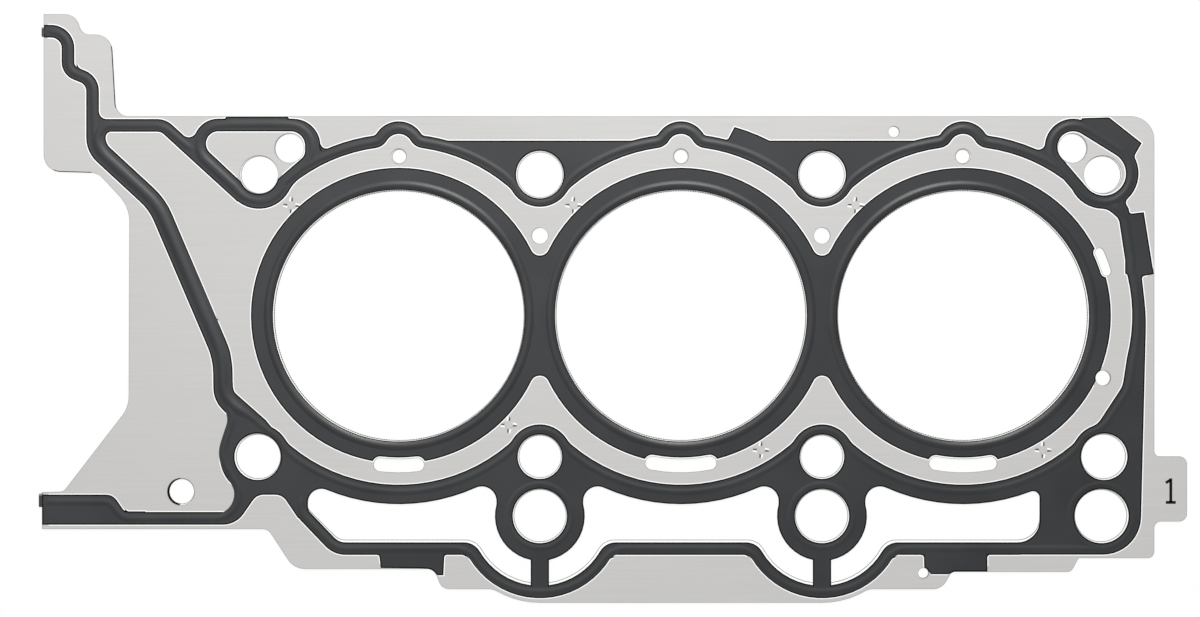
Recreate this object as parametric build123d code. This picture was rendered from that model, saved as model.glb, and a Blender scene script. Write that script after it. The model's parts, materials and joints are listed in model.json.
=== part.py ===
from build123d import *
import math
import os

# Multi-layer steel cylinder head gasket for one bank of a V6 engine.
#
# Two thin steel sheets lie on each other, clinched together at six places. Dark elastomer is printed on
# the upper one, round the bores and along the oil and coolant passages, and full beads rise along the
# middle of the printed lines. The bore axes run along Z and the row of cylinders along X. The origin is
# on the middle bore's axis, in the plane where the two sheets touch.

# ---- Driving dimensions, in millimetres ------------------------------------------------------------

# Cylinder block: everything below hangs on the bore pitch and the head bolts.
bore_pitch = 108.0
bolt_x = bore_pitch / 2  # inner bolts
outer_bolt_x = 162.0
corner_bolt_x = 161.5
bolt_y = 54.0

# Sheets, printed coating and beads.
sheet_t = 0.4
print_t = 0.03
clinch_w = 2.6
clinch_h = 0.15
clinch_turn = 38.0  # degrees
bead_h = 0.25
bore_bead_w = 3.1
bore_crest_w = 1.1
edge_gap = 0.1  # bare rim left by the printing along the sheet's edge

# Rings round each bore, from the inside out: bore, bead, printed island, bare metal over the coolant jacket.
bore_r = 48.2
bead_inset = 1.85
island_w = 8.4
web_lap = 2.6  # the islands of two bores run into each other by twice this
jacket_w = 8.1
bore_bead_r = bore_r + bead_inset
island_r = max(bore_r + island_w, bolt_x + web_lap)
jacket_r = island_r + jacket_w

# The lower sheet reaches a little further into the bores and windows, as a bright rim.
bore_rim = 0.4
window_lap = 1.0

# Bolt holes in the upper sheet. The lower sheet's are smaller by hole_step, and all its openings but the
# slots and windows are drawn in a little towards the origin.
upper_bolt_r = 9.1
lower_bolt_r = 8.5
corner_bolt_r = 7.3
end_bolt_r = 8.9
hole_step = 0.5
small_hole_step = 0.3
draw_in = 0.0015

# Oil and coolant passages.
return_y = -76.7
return_r = 10.4
rear_return_x = 161.0
companion_x, companion_y, companion_r = 149.9, 64.1, 5.6
web_hole_y, web_hole_r = 30.6, 3.1
arch_hole_r = 2.9
arch_hole_y = island_r + arch_hole_r + 1.5
slot_w = 5.1
slot_path_r = island_r + 0.9

# Outline.
panel_left = -244.6
panel_right = 181.2
panel_top = 76.3
tab_right = 193.7
tower_top = 115.4
tower_left = -243.9
skirt_y = -104.7
hump_r = 33.2

# Coated tracks.
track_w = 4.9
wide_track_w = 7.5
land_y = jacket_r + 2.3
upper_pad_r = 12.4
corner_pad_r = 13.15
end_pad_r = 12.55
bump_r = 5.3
bump_y = jacket_r - 0.5

# Windows between the bolt row and the sump rail.
window_left, window_right = -142.8, 137.3
window_top_r = jacket_r + wide_track_w
window_floor_y = -86.8
return_pad_r = 17.2
rail_arc_r = 26.7
spoke_w = 7.0
neck_w = 33.2

bores = [-bore_pitch, 0.0, bore_pitch]


def rounded(*corners) -> Sketch:
    """Closed outline from (x, y, radius) corners, each rounded by its own radius."""
    points = [(x, y) for x, y, _ in corners]
    radii = [r for _, _, r in corners]
    return Sketch() + make_face(FilletPolyline(*points, radius=radii, close=True))


def disc(x, y, r) -> Sketch:
    """Disc of radius r about a point."""
    return Pos(x, y) * Circle(r)


def blend(region, spots, radius) -> Sketch:
    """Rounds the region's corner that lies nearest to each of the given spots."""
    for x, y in spots:
        corner = region.vertices().sort_by_distance((x, y, 0))[0]
        region = eased(region, corner, radius)
    return region


def eased(region, corner, radius) -> Sketch:
    """Rounds one corner; where its sides are too short for the radius, it gets a smaller one."""
    for share in (1, 0.7, 0.4):
        try:
            return fillet(corner, share * radius)
        except ValueError:
            continue
    return region


def meeting_point(y, big_r, small_r) -> tuple:
    """Where a circle of big_r about (0, 0) meets one of small_r about (0, y), on the +X side."""
    meet_y = (y**2 + big_r**2 - small_r**2) / (2 * y)
    return math.sqrt(big_r**2 - meet_y**2), meet_y


def panel() -> Sketch:
    """Outer shape that both sheets share."""
    body = rounded(
        (tower_left, tower_top, 0),
        (-231.9, tower_top, 5.5),
        (-229.2, 107.6, 4),
        (-218.0, 107.6, 6.5),
        (-216.2, panel_top, 5),
        (panel_right, panel_top, 9),
        (panel_right, -53.9, 2),
        (tab_right, -53.9, 3),
        (tab_right, -78.8, 3),
        (panel_right, -78.8, 2.5),
        (panel_right, -92.8, 2.5),
        (152.2, -92.8, 0),
        (149.4, -98.1, 2.5),
        (103.6, -98.1, 2.5),
        (99.9, skirt_y, 6),
        (-91.4, skirt_y, 4),
        (-94.6, -97.0, 4),
        (-148.1, -97.0, 8),
        (-158.1, -81.7, 4),
        (panel_left, -81.7, 0),
        (panel_left, -67.6, 0),
        (-236.4, -67.4, 3),
        (-211.4, -35.0, 12),
        (-211.1, 41.6, 14),
        (-223.2, 54.6, 6),
        (tower_left, 55.2, 6.5),
    )
    hump = Pos(0, return_y) * SlotCenterToCenter(2 * bolt_x, 2 * hump_r)
    foot = math.sqrt(hump_r**2 - (skirt_y - return_y) ** 2)
    return blend(body + hump, [(s * (bolt_x + foot), skirt_y) for s in (-1, 1)], 6)


def arc_slot(bore_x, middle_deg, length, width) -> Sketch:
    """Slot that follows the coolant jacket round a bore; length is measured tip to tip."""
    half_deg = math.degrees((length - width) / 2 / slot_path_r)
    path = CenterArc((bore_x, 0), slot_path_r, middle_deg - half_deg, 2 * half_deg)
    return Sketch() + SlotArc(path, width)


def coolant_slots(margin=0.0) -> Sketch:
    """The slots below the bores and beside the last one, grown by a margin."""
    bottom, side = -90.0, 21.0
    slots = Sketch()
    for bore_x, middle_deg, length, width in (
        (bores[0], bottom, 19.3, slot_w),
        (bores[1], bottom, 27.3, slot_w),
        (bores[2], bottom, 26.0, slot_w),
        (bores[2], side, 11.1, 3.5),
    ):
        slots += arc_slot(bore_x, middle_deg, length + 2 * margin, width + 2 * margin)
    return slots


def bolt_holes(shrink=0.0) -> Sketch:
    """Head-bolt holes, made smaller by shrink."""
    holes = Sketch()
    for side in (-1, 1):
        holes += disc(side * bolt_x, bolt_y, upper_bolt_r - shrink)
        holes += disc(side * bolt_x, -bolt_y, lower_bolt_r - shrink)
        holes += disc(side * corner_bolt_x, bolt_y, corner_bolt_r - shrink / 2)
        holes += disc(side * outer_bolt_x, -bolt_y, end_bolt_r - shrink)
    return holes


def passage_holes(shrink=0.0, small_shrink=0.0) -> Sketch:
    """Round oil and coolant passages, made smaller by shrink, or small_shrink over the arches."""
    holes = disc(-191.4, -67.4, 5.2 - shrink)
    for x in (-bolt_x, bolt_x, rear_return_x):
        holes += disc(x, return_y, return_r - shrink)
    for side in (-1, 1):
        holes += disc(side * companion_x, companion_y, companion_r)
        holes += disc(side * bolt_x, web_hole_y, web_hole_r)
    for x in bores:
        holes += disc(x, arch_hole_y, arch_hole_r - small_shrink)
    for x, y, r in ((161.6, -23.9, 2.9), (81.5, 70.4, 2.1), (92.8, -98.6, 2.0)):
        holes += disc(x, y, r)
    return holes


def bore_discs(shrink=0.0) -> Sketch:
    """The three bores, made smaller by shrink."""
    discs = Sketch()
    for x in bores:
        discs += disc(x, 0, bore_r - shrink)
    return discs


def sump(lap=0.0) -> Sketch:
    """Outer shape of the three windows together; lap lifts the lower edge."""
    floor_y = window_floor_y + lap
    box = rounded(
        (window_left, -bolt_y - 2, 0),
        (window_left, -74.4 + lap / 2, 3),
        (window_left + 11.9, floor_y, 6),
        (window_right, floor_y, 8.5),
        (window_right, -bolt_y - 2, 0),
    )
    lobe_r = rail_arc_r - lap
    reach = math.sqrt(lobe_r**2 - (floor_y - return_y) ** 2)
    below = Pos(0, return_y - rail_arc_r) * Rectangle(4 * bore_pitch, 2 * rail_arc_r)
    for x in (-bolt_x, bolt_x):
        box += disc(x, return_y, lobe_r) & below
    corners = [(x + s * reach, floor_y) for x in (-bolt_x, bolt_x) for s in (-1, 1)]
    return blend(box, corners, 7)


def windows(lap=0.0) -> Sketch:
    """Three large openings between the bolt row and the sump rail."""
    openings = sump(lap)
    for x in bores:
        openings -= disc(x, 0, window_top_r)
    for x in (-bolt_x, bolt_x):
        openings -= disc(x, return_y, return_pad_r)
        openings -= Pos(x, (return_y - bolt_y) / 2) * Rectangle(neck_w, -return_y - bolt_y)
        openings -= Pos(x, return_y - rail_arc_r) * Rectangle(spoke_w, 2 * rail_arc_r)
    side = bolt_x - neck_w / 2
    openings = blend(openings, [(x + s * side, window_top(side)) for x, s in NECKS], 5.6)
    openings = blend(openings, [(window_left, window_top(window_left - bores[0]))], 5.2)
    return blend(openings, [(window_right, window_top(window_right - bores[2]))], 2.5)


def window_top(across) -> float:
    """Height of the windows' upper edge at a distance to the side of a bore's axis."""
    return -math.sqrt(window_top_r**2 - across**2)


NECKS = ((bores[0], 1), (bores[1], -1), (bores[1], 1), (bores[2], -1))


def jacket() -> Sketch:
    """Bare area over the coolant jacket, from the timing case to the far end."""
    area = rounded(
        (-219.2, 70.3, 3.6),
        (-199.0, 70.3, 0),
        (-170.3, 44.05, 0),
        (-161.4, bolt_y, 0),
        (-130, 40, 0),
        (-130, -40, 0),
        (-150.0, -47.8, 0),
        (-171.3, -29.0, 4),
        (-172.2, -14, 20),
        (-196.8, 44.0, 20),
        (-219.2, 65.0, 2.2),
    )
    area += rounded(
        (155.0, 48.0, 0),
        (167.6, 37.0, 4),
        (173.2, 0, 60),
        (169.0, -27, 8),
        (157.5, -44.5, 0),
        (130, -30, 0),
        (130, 40, 0),
    )
    for x in bores:
        area += disc(x, 0, jacket_r) + disc(x, bump_y, bump_r)
    for x in (-bolt_x, bolt_x):
        area += Pos(x, 0) * Rectangle(20, 88)
    foot_x, foot_y = meeting_point(bump_y, jacket_r, bump_r)
    area = blend(area, [(x + s * foot_x, foot_y) for x in bores for s in (-1, 1)], 6)
    notches = []
    for side in (-1, 1):
        for y in (bolt_y, -bolt_y):
            area -= disc(side * bolt_x, y, upper_pad_r)
            notches += [(side * bolt_x + s * 10, math.copysign(47, y)) for s in (-1, 1)]
        area -= disc(side * corner_bolt_x, bolt_y, corner_pad_r)
        area -= disc(side * outer_bolt_x, -bolt_y, end_pad_r)
        notches += [(side * 151, -49)]
    area = blend(area, [(162.8, 41.2), (158.5, -42.0)], 6)
    area = blend(area, [(149, 49.5)], 8)
    area = blend(area, [(-149, 49.5)], 13)
    return blend(area, notches, 8)


def rounded_line(*corners) -> Wire:
    """Open line through (x, y, radius) corners; the radii of the two ends aren't used."""
    points = [(x, y) for x, y, _ in corners]
    radii = [r for _, _, r in corners[1:-1]]
    return Wire(FilletPolyline(*points, radius=radii).edges())


def top_left_loop() -> Sketch:
    """Bare triangle round the corner bolt and its companion hole, on the long side."""
    triangle = rounded(
        (-188.9, 70.5, 4.67),
        (-143.9, 70.5, 5.5),
        (-143.9, 61.3, 4),
        (-157.5, 49.5, 0),
        (-165.0, 48.1, 0),
    )
    return triangle + disc(-corner_bolt_x, bolt_y, corner_bolt_r + edge_gap)


def top_right_loop() -> Sketch:
    """Bare oval round the other corner bolt and its companion hole."""
    ends = [disc(150.1, 64.5, 6.0), disc(161.9, 54.4, 8.4)]
    return Sketch() + make_hull([edge for end in ends for edge in end.edges()])


def lands() -> Sketch:
    """Wide printed areas round the bolts, and the flaps that reach from the tracks."""
    area = Sketch()
    for side in (-1, 1):
        area += Pos(side * bolt_x, land_y - 20) * Rectangle(bore_pitch, 40)
    # Under the bores, from the end bolt to the far edge.
    area += rounded(
        (-162, -54, 0),
        (-162, -40, 0),
        (150, -40, 0),
        (150, -91.5, 0),
        (80, -80, 0),
        (-120, -80, 0),
        (-146.6, -77.5, 0),
        (-152.6, -68.6, 5),
        (-164.0, -68.6, 0),
    )
    # The end beyond the last bore.
    area += rounded(
        (130, -91.5, 0),
        (175.8, -91.5, 14.6),
        (178.1, 0, 80),
        (176.3, 16, 0),
        (171.4, 41, 0),
        (168.5, 46, 0),
        (150, 56, 0),
        (130, 66, 0),
    )
    area += rounded((-161.4, 54, 0), (-150, 44, 0), (-130, 58, 0), (-141, 66, 0))
    area += rounded((161.4, 54, 0), (150, 44, 0), (130, 58, 0), (141, 66, 0))
    area += disc(-outer_bolt_x, -bolt_y, 14.5) + disc(-148.3, 65.0, 10.35)
    for side in (-1, 1):
        area += disc(side * corner_bolt_x, bolt_y, corner_pad_r)
    return area


def flaps() -> Sketch:
    """Flat printed flaps beside the tracks, out to the sheet's edge."""
    area = rounded((-174.2, 72, 0), (-174.2, 76.1, 0), (-150.3, 76.1, 0), (-150.3, 72, 0))
    wing = rounded((17.2, 66, 0), (20.9, 73, 0), (30, 78, 0), (42, 66, 0), (30, 62, 0))
    area += wing & disc(0, 0, jacket_r + 10.4)
    area += rounded(
        (153.5, 73, 0),
        (153.5, 75.6, 0),
        (163.9, 75.9, 1.5),
        (176.4, 66.0, 0),
        (173.2, 60.5, 0),
        (165, 64, 0),
    )
    area += rounded((176.0, 14.9, 0), (181.0, 15.9, 0), (177.2, 39.6, 0), (170, 38.8, 0), (170, 16, 0))
    area += rounded(
        (-115.8, -89, 0),
        (-114.9, -96.6, 0),
        (-98.2, -96.8, 3),
        (-92.9, -99.4, 0),
        (-90.9, -99.4, 0),
        (-90.4, -89, 0),
    )
    area += rounded(
        (92.9, -89, 0),
        (93.1, -96.3, 0),
        (95.9, -99.0, 0),
        (102.2, -99.0, 0),
        (105.3, -98.0, 0),
        (117.3, -98.0, 0),
        (117.3, -89, 0),
    )
    area += rounded(
        (panel_left, -68.5, 0),
        (-217.4, -68.5, 5),
        (-213.0, -74.9, 2),
        (-205, -74.9, 0),
        (-205, -79.9, 0),
        (panel_left, -79.9, 0),
    )
    return area


def tower_line() -> Wire:
    """Middle of the printed line that crosses the tower and runs down to the case line."""
    return rounded_line(
        (panel_left + edge_gap, 108.85, 0),
        (-234.6, 108.85, 6.5),
        (-234.6, 93.8, 4.8),
        (-225.2, 90.0, 6),
        (-225.2, 70, 0),
    )


def case_line() -> Wire:
    """Middle of the wide line along the timing case."""
    return rounded_line(
        (-223.9, 74, 0),
        (-223.9, 64.2, 9),
        (-200.4, 42.5, 25),
        (-175.4, -16.0, 30),
        (-175.2, -31.0, 8),
        (-163, -43, 0),
    )


def spur_line() -> Wire:
    """Middle of the line from the case line to the corner bolt."""
    return rounded_line((-224, 72.8, 0), (-198.1, 72.8, 6), (-168, 45.3, 0))


def rail_line() -> Wire:
    """Middle of the line along the lower edge of the front end, up to the end bolt."""
    return rounded_line(
        (panel_left + edge_gap, -77.6, 0),
        (-171.6, -77.6, 7),
        (-161.4, -63, 0),
    )


def front_tracks() -> Sketch:
    """Printed lines round the timing case, on the long side of the gasket."""
    lines = trace(tower_line(), track_w) + trace(case_line(), wide_track_w)
    return lines + trace(spur_line(), track_w) + trace(rail_line(), track_w)


def tracks() -> Sketch:
    """All printed elastomer outside the bore island, on one face of the gasket."""
    rail = offset(sump(), track_w - edge_gap)
    below = Pos(0, -2.1 * bolt_y) * Rectangle(4 * bore_pitch, 1.8 * bolt_y)
    area = lands() + (rail & below)
    for x in bores:
        area += disc(x, 0, jacket_r + track_w) + disc(x, bump_y, bump_r + track_w)
    area -= jacket()
    area += flaps() + front_tracks()
    for loop in (top_left_loop(), top_right_loop()):
        area += offset(loop, track_w)
        area -= loop
    area -= windows()
    for spots, radius in JUNCTIONS:
        area = blend(area, spots, radius)
    area = area & offset(panel(), -edge_gap)
    return area - bolt_holes() - passage_holes()


# Corners where printed lines meet, and the radius that rounds them.
JUNCTIONS = (
    (((-222.7, 75.4), (-188.3, 68.4)), 3),
    (((-136.8, 64.6), (138.2, 63.6)), 2.5),
    (((-173.2, -40.6), (-168.3, -67.1)), 3),
    (((-163.2, -68.6),), 5),
)


def island() -> Sketch:
    """Printed elastomer round the three bores, which run into each other at the webs."""
    area = Sketch()
    for x in bores:
        area += disc(x, 0, island_r)
    tip = math.sqrt(island_r**2 - bolt_x**2)
    area = blend(area, [(s * bolt_x, t * tip) for s in (-1, 1) for t in (-1, 1)], 3.6)
    return area - bore_discs() - coolant_slots(0.6) - passage_holes()


def bore_beads() -> Part:
    """The bead round each bore, which seals the combustion pressure: slanted flanks and a flat crest."""
    foot, crest = bore_bead_w / 2, bore_crest_w / 2
    section = Plane.XZ * Pos(bore_bead_r, 0) * make_face(
        Polyline((-foot, 0), (-crest, bead_h), (crest, bead_h), (foot, 0), close=True)
    )
    ring = revolve(section, Axis.Z)
    return Part() + [Pos(x, 0) * ring for x in bores]


def sheet(holes, openings) -> Part:
    """One steel sheet, lying on the plane z = 0."""
    return extrude(panel() - holes - openings - coolant_slots(), sheet_t)


def clinches() -> Part:
    """Small four-sided marks on the upper sheet where the two sheets are clinched together."""
    marks = Part()
    for x, y in CLINCH_SPOTS:
        mark = Rotation(0, 0, clinch_turn) * Rectangle(clinch_w, clinch_w)
        marks += Pos(x, y, sheet_t) * extrude(mark, clinch_h, taper=20)
    return marks


# One clinch stands above and one below each bore, in the bare metal over the coolant jacket.
CLINCH_SPOTS = (
    (bores[0] - 41.1, 42.2),
    (bores[1] - 41.1, 42.2),
    (bores[2] - 41.1, 42.2),
    (bores[0] + 42.1, -41.9),
    (bores[1] + 30.6, -51.5),
    (bores[2] + 30.6, -51.5),
)


def build_nodes() -> dict:
    """Every node of the gasket, keyed by its name."""
    holes = bore_discs() + bolt_holes() + passage_holes()
    upper = sheet(holes, windows()) + clinches()
    small_holes = bore_discs(bore_rim) + bolt_holes(hole_step) + passage_holes(hole_step, small_hole_step)
    lower = sheet(scale(small_holes, by=1 - draw_in), windows(window_lap))
    beaded = extrude(island(), print_t) + Pos(0, 0, print_t) * bore_beads()
    return {
        "upper_sheet": upper,
        "lower_sheet": Pos(0, 0, -sheet_t) * lower,
        "upper_track_print": Pos(0, 0, sheet_t) * extrude(tracks(), print_t),
        "upper_bore_print": Pos(0, 0, sheet_t) * beaded,
    }


os.makedirs("parts", exist_ok=True)
for name, node in build_nodes().items():
    export_step(node, f"parts/{name}.step")
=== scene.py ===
"""Looks of a multi-layer steel cylinder head gasket: rolled steel sheets, printed elastomer and beads."""

from __future__ import annotations

import json
import logging
import math
from dataclasses import dataclass, field
from enum import Enum
from typing import ClassVar

import bmesh
import bpy
import numpy as np
from bpy.types import Material, Node, NodeSocket, NodeTree, Object
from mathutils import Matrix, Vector

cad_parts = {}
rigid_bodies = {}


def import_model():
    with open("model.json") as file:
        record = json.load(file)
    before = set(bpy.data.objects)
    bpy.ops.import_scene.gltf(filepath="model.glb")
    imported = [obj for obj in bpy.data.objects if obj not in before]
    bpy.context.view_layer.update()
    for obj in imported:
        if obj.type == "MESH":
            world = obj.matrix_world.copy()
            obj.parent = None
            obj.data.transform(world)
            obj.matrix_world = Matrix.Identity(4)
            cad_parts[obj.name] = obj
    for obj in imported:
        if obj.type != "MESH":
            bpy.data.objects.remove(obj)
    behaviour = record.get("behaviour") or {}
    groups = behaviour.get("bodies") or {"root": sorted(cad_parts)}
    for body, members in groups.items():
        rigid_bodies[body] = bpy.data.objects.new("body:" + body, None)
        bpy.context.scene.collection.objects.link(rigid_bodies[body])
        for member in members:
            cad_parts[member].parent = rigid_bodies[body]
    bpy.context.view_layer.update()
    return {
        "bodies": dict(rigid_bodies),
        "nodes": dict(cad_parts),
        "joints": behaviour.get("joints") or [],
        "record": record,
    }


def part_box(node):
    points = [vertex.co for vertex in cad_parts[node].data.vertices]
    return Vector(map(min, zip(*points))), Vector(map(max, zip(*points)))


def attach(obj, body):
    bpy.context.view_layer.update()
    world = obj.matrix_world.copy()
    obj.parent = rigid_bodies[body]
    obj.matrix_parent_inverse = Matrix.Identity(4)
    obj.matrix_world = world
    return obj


LOG = logging.getLogger("head_gasket")
MM = 0.001
BODY = "root"
BORES = (-108.0, 0.0, 108.0)
CREASE = math.radians(40)
STRAIGHT = 0.01  # a line that turns less than this, in radians, gets no arc
MITRE_LIMIT = 0.6
HALF_FILM = 0.006  # half the thickness of strips, in millimetres
HALF_MARK = 0.012  # half the thickness of marks

Point = tuple[float, float]
Corner = tuple[float, float, float]  # x, y and the radius there
Colour = tuple[float, float, float]
Line = np.ndarray  # points or vectors in a row, as an (n, 2) array


class Level(Enum):
    """Which of a node's upward levels an outline is read from."""

    WIDEST = "widest"
    HIGHEST = "highest"


class Slot(Enum):
    """The record's material slots."""

    STEEL = "bare_steel"
    COATING = "coating"


# ---- Shader groups ----


@dataclass
class NodeBuilder:
    """Short helpers for the nodes of one shader tree."""

    tree: NodeTree

    @classmethod
    def group(cls, name: str, inputs: dict[str, float], outputs: tuple[str, ...]) -> NodeBuilder:
        """Starts a node group whose sockets all hold numbers.

        Args:
            name: the group's name.
            inputs: its inputs and their default values.
            outputs: its outputs.

        Returns:
            The builder for the group's tree.
        """
        tree = bpy.data.node_groups.new(name, "ShaderNodeTree")
        for key, value in inputs.items():
            socket = tree.interface.new_socket(key, in_out="INPUT", socket_type="NodeSocketFloat")
            socket.default_value = value
        for key in outputs:
            tree.interface.new_socket(key, in_out="OUTPUT", socket_type="NodeSocketFloat")
        tree.nodes.new("NodeGroupInput")
        tree.nodes.new("NodeGroupOutput")
        return cls(tree)

    def node(self, kind: str, inputs: dict[str | int, object], **settings: object) -> Node:
        """Adds a node.

        Args:
            kind: the node's type, without "ShaderNode".
            inputs: a socket or a plain value for each input.
            settings: property names and values.

        Returns:
            The new node.
        """
        made = self.tree.nodes.new(f"ShaderNode{kind}")
        for key, value in settings.items():
            setattr(made, key, value)
        self.feed(made, inputs)
        return made

    def feed(self, node: Node, inputs: dict[str | int, object]) -> None:
        """Fills a node's inputs.

        Args:
            node: the node.
            inputs: a socket or a plain value for each input, by name or number.
        """
        for key, value in inputs.items():
            if isinstance(value, NodeSocket):
                self.tree.links.new(value, node.inputs[key])
            else:
                node.inputs[key].default_value = value

    def noise(self, output: str, inputs: dict[str | int, object]) -> None:
        """Adds a noise texture, fills its inputs and feeds one of the group's outputs with it."""
        made = self.node("TexNoise", inputs, noise_dimensions="3D")
        self.feed(self.tree.nodes["Group Output"], {output: made.outputs["Fac"]})


def rolled_grain_group() -> NodeTree:
    """Makes the group for the fine grain that rolling leaves in sheet steel.

    Returns:
        A group with inputs Length, Width and Cloud Scale and outputs Grain and Cloud, both about 0.5.
    """
    scales = {"Length": 60.0, "Width": 1500.0, "Cloud Scale": 14.0}
    group = NodeBuilder.group("rolled_grain", scales, ("Grain", "Cloud"))
    given = group.tree.nodes["Group Input"].outputs
    place = group.node("TexCoord", {}).outputs["Object"]
    stretch = group.node("CombineXYZ", {"X": given["Length"], "Y": given["Width"], "Z": 1.0})
    scaled = group.node("VectorMath", {0: place, 1: stretch.outputs[0]}, operation="MULTIPLY")
    group.noise("Grain", {"Vector": scaled.outputs[0], "Scale": 1.0, "Detail": 3.0, "Roughness": 0.6})
    group.noise("Cloud", {"Vector": place, "Scale": given["Cloud Scale"], "Detail": 2.0})
    return group.tree


def print_mottle_group() -> NodeTree:
    """Makes the group for the faint mottle and specks of screen-printed elastomer.

    Returns:
        A group with inputs Speck Scale and Cloud Scale and outputs Speck and Cloud.
    """
    group = NodeBuilder.group("print_mottle", {"Speck Scale": 2600.0, "Cloud Scale": 45.0}, ("Speck", "Cloud"))
    given = group.tree.nodes["Group Input"].outputs
    place = group.node("TexCoord", {}).outputs["Object"]
    group.noise("Speck", {"Vector": place, "Scale": given["Speck Scale"], "Detail": 2.0})
    group.noise("Cloud", {"Vector": place, "Scale": given["Cloud Scale"], "Detail": 3.0})
    return group.tree


# ---- Finishes ----


@dataclass(frozen=True)
class Surface:
    """How the outputs of a shader group drive a finish's tone, its sheen and its relief."""

    scales: dict[str | int, float]
    tone: str
    tone_range: tuple[float, float]
    sheen: str
    sheen_spread: float
    relief: str
    relief_strength: float
    sheen_range: tuple[float, float] = (0.3, 0.7)
    relief_height: float = 0.00001


ROLLED = Surface(
    {"Length": 25.0, "Width": 1100.0, "Cloud Scale": 11.0},
    tone="Grain", tone_range=(0.25, 0.75), sheen="Cloud", sheen_spread=0.04, relief="Grain", relief_strength=0.1,
)
PRINTED = Surface(
    {"Speck Scale": 2600.0, "Cloud Scale": 40.0},
    tone="Cloud", tone_range=(0.3, 0.7), sheen="Speck", sheen_spread=0.03, relief="Speck", relief_strength=0.04,
)


@dataclass(frozen=True)
class Finish:
    """One finish of steel or of elastomer."""

    name: str
    dark: Colour
    light: Colour
    roughness: float
    metallic: float = 0.0
    specular: float = 0.5

    def make(self, surface: Surface, group: NodeTree) -> Material:
        """Builds the material.

        Args:
            surface: how the group drives it.
            group: the shader group.

        Returns:
            The material.
        """
        material = bpy.data.materials.new(self.name)
        material.use_nodes = True
        builder = NodeBuilder(material.node_tree)
        effect = builder.node("Group", surface.scales, node_tree=group).outputs
        ramp = builder.node("ValToRGB", {"Fac": effect[surface.tone]})
        for element, place, colour in zip(ramp.color_ramp.elements, surface.tone_range, (self.dark, self.light)):
            element.position = place
            element.color = (*colour, 1.0)
        sheen = {
            "Value": effect[surface.sheen],
            "From Min": surface.sheen_range[0],
            "From Max": surface.sheen_range[1],
            "To Min": self.roughness - surface.sheen_spread,
            "To Max": self.roughness + surface.sheen_spread,
        }
        relief = {
            "Height": effect[surface.relief],
            "Distance": surface.relief_height,
            "Strength": surface.relief_strength,
        }
        looks = {
            "Base Color": ramp.outputs["Color"],
            "Roughness": builder.node("MapRange", sheen).outputs["Result"],
            "Metallic": self.metallic,
            "Specular IOR Level": self.specular,
            "Normal": builder.node("Bump", relief).outputs["Normal"],
        }
        builder.feed(material.node_tree.nodes["Principled BSDF"], looks)
        return material


STEELS = (
    Finish("rolled_steel", (0.468, 0.463, 0.454), (0.498, 0.493, 0.484), 0.54, metallic=0.2),
    # sheared and shaded: darker grey for the real shear zone along cut edges together with painted shade of the edge
    # walls
    Finish("sheared_and_shaded_steel", (0.20, 0.198, 0.194), (0.30, 0.297, 0.291), 0.5, metallic=0.3),
    # painted shade: near-black steel for the shade in the clinches' cuts and between the rim teeth
    Finish("painted_shade_steel", (0.03, 0.03, 0.03), (0.08, 0.08, 0.08), 0.6, metallic=0.2),
    # painted highlight: near-white steel for bright rims beside the print, the lower sheet's ledge and beside the
    # clinches
    Finish("burnished_steel", (0.86, 0.86, 0.85), (0.93, 0.93, 0.92), 0.5, metallic=0.1),
)
PRINTS = (
    Finish("printed_elastomer", (0.024, 0.025, 0.027), (0.032, 0.034, 0.036), 0.32, specular=0.26),
    # painted shade: near-black print laid where shade falls along the print's edges, in one hole and along the
    # sheet's edge
    Finish("banked_print", (0.002, 0.002, 0.002), (0.005, 0.005, 0.005), 0.6, specular=0.05),
    Finish("marking_ink", (0.002, 0.002, 0.002), (0.005, 0.005, 0.005), 0.6, specular=0.1),
)


# ---- Lines that beads and edges follow ----


def rounded_line(corners: list[Corner], closed: bool = False, step: float = 0.8) -> Line:
    """Samples a line of straight runs joined by tangent arcs.

    Args:
        corners: x, y and corner radius in millimetres; the ends of an open line aren't rounded.
        closed: whether the last corner joins the first.
        step: distance between samples on an arc, in millimetres.

    Returns:
        The points, in millimetres.
    """
    places = [np.array(corner[:2], float) for corner in corners]
    count = len(places)
    points: list[np.ndarray] = []
    for index in range(count):
        here = places[index]
        if not closed and index in (0, count - 1):
            points.append(here)
            continue
        before, after = unit(places[index - 1] - here), unit(places[(index + 1) % count] - here)
        turn = math.pi - math.acos(float(np.clip(before @ after, -1, 1)))
        radius = corners[index][2]
        if radius <= 0 or turn < STRAIGHT:
            points.append(here)
            continue
        centre = here + unit(before + after) * (radius / math.cos(turn / 2))
        first = here + before * radius * math.tan(turn / 2) - centre
        pieces = max(2, math.ceil(radius * turn / step))
        sign = 1.0 if (before[0] * after[1] - before[1] * after[0]) < 0 else -1.0
        ways = directions(sign * turn * np.arange(pieces + 1) / pieces)
        points += list(centre + ways @ np.array([first, left_of(first)]))
    return np.array(points)


def resampled(points: Line, step: float, closed: bool) -> Line:
    """Spaces points evenly along a line.

    Args:
        points: the line.
        step: the wanted spacing.
        closed: whether the line is a loop.

    Returns:
        The evenly spaced points.
    """
    line = np.vstack([points, points[:1]]) if closed else points
    lengths = np.concatenate([[0.0], np.cumsum(np.linalg.norm(np.diff(line, axis=0), axis=1))])
    count = max(3, int(round(lengths[-1] / step)))
    wanted = np.linspace(0, lengths[-1], count + 1)
    even = np.column_stack([np.interp(wanted, lengths, line[:, axis]) for axis in (0, 1)])
    return even[:-1] if closed else even


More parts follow.
